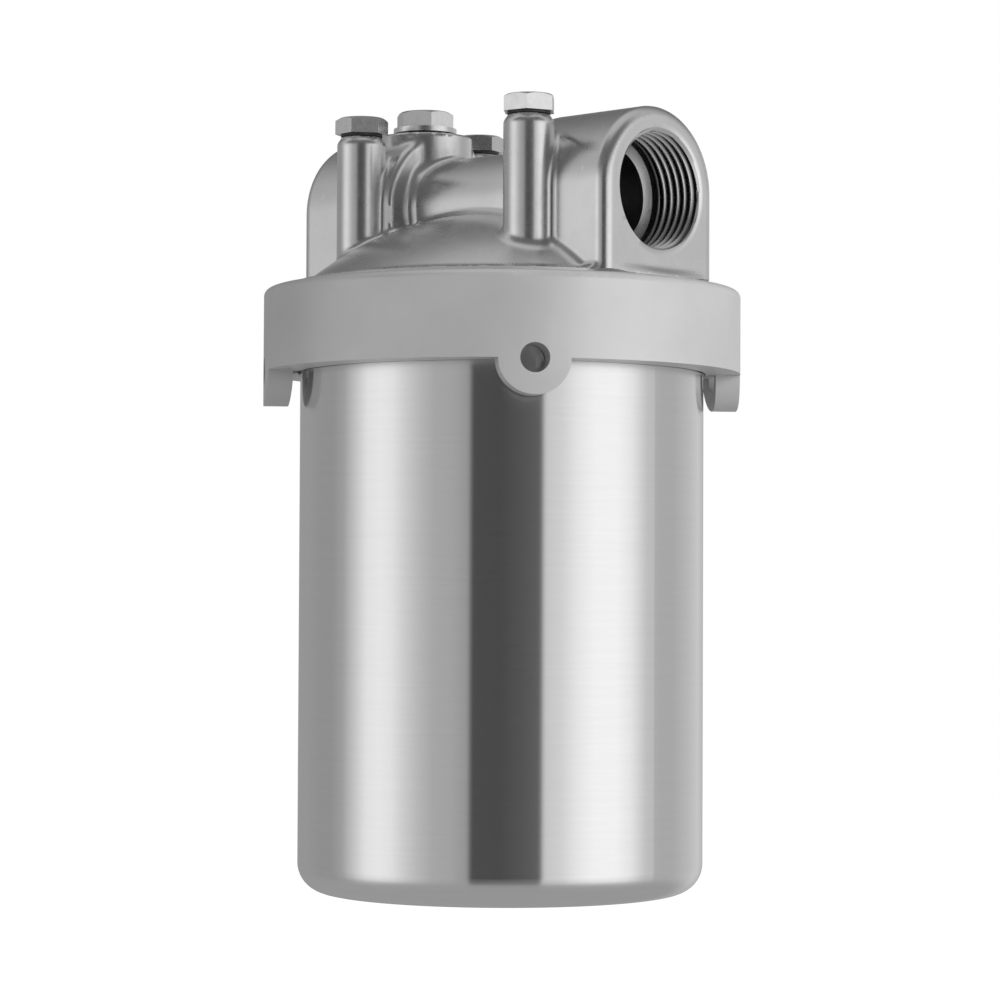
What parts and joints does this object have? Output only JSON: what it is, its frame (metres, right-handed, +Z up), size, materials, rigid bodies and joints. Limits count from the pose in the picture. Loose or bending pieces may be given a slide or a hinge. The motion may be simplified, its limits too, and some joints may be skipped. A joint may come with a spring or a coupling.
{
  "type": "filter housing",
  "caption": "Inline filter housing: cast head with two threaded ports, lugged ring nut, drawn steel sump and a spring-held pleated cartridge inside.",
  "frame": {"origin": "centre of the sump's flat lower face, which is the middle of the model's base", "axes": "+Z up the sump's axis to the head; +X towards the inlet port; the bleed plug is at +X -Y"},
  "size_m": [0.13, 0.13, 0.2154],
  "materials": {
    "cast_aluminium": "satin, as cast",
    "ring_aluminium": "satin",
    "drawn_steel": "fine brushed stainless",
    "plated_steel": "bright zinc",
    "dark_steel": "dark plated",
    "spring_steel": "drawn wire",
    "brass": "turned",
    "rubber": "matte",
    "acetal": "matte",
    "paper": "pleated filter media"
  },
  "bodies": {
    "head": {"head_casting": "cast_aluminium", "cartridge_spigot": "acetal", "bowl_o_ring": "rubber", "bypass_cap": "plated_steel", "bypass_cap_washer": "rubber", "bypass_seat": "brass", "bypass_spring": "spring_steel", "front_left_plug": "dark_steel", "front_left_washer": "rubber", "rear_left_plug": "plated_steel", "rear_left_washer": "rubber", "rear_right_plug": "plated_steel", "rear_right_washer": "rubber"},
    "bleed_seal": {"bleed_washer": "rubber"},
    "bleed": {"bleed_plug": "plated_steel"},
    "valve": {"bypass_poppet": "brass", "poppet_seal": "rubber"},
    "bowl": {"sump": "drawn_steel", "cartridge_spring": "spring_steel"},
    "seat": {"spring_seat": "drawn_steel"},
    "cartridge": {"top_gasket": "rubber", "top_end_cap": "acetal", "pleated_media": "paper", "core_tube": "acetal", "outer_cage": "acetal", "bottom_end_cap": "acetal", "bottom_gasket": "rubber"},
    "ring_carrier": {"thrust_washer": "acetal"},
    "ring": {"ring_nut": "ring_aluminium"}
  },
  "joints": [
    {"name": "bowl_drop", "type": "slide", "parent": "head", "child": "bowl", "axis": [0, 0, -1], "range_m": [0, 0.27]},
    {"name": "cartridge_drop", "type": "slide", "parent": "head", "child": "cartridge", "axis": [0, 0, -1], "range_m": [0, 0.135]},
    {"name": "seat_press", "type": "slide", "parent": "bowl", "child": "seat", "axis": [0, 0, -1], "range_m": [0, 0.006], "stiffness_N_per_m": 1000, "springref_m": -0.008, "deforming": ["cartridge_spring"]},
    {"name": "ring_lead", "type": "slide", "parent": "bowl", "child": "ring_carrier", "axis": [0, 0, -1], "range_m": [0, 0.012]},
    {"name": "ring_turn", "type": "hinge", "parent": "ring_carrier", "child": "ring", "pos_m": [0, 0, 0], "axis": [0, 0, -1], "range_deg": [0, 1440]},
    {"name": "bleed_lead", "type": "slide", "parent": "head", "child": "bleed_seal", "axis": [0, 0, 1], "range_m": [0, 0.006]},
    {"name": "bleed_turn", "type": "hinge", "parent": "bleed_seal", "child": "bleed", "pos_m": [0.0314, -0.0234, 0], "axis": [0, 0, 1], "range_deg": [0, 2382]},
    {"name": "bypass_lift", "type": "slide", "parent": "head", "child": "valve", "axis": [0, 0, 1], "range_m": [0, 0.004], "stiffness_N_per_m": 1500, "springref_m": -0.006, "deforming": ["bypass_spring"]}
  ],
  "couplings": [
    {"joint": "cartridge_drop", "follows": "bowl_drop", "ratio": 0.5},
    {"joint": "ring_turn", "follows": "ring_lead", "rad_per_m": 2094.4},
    {"joint": "bleed_turn", "follows": "bleed_lead", "rad_per_m": 6927.4}
  ]
}
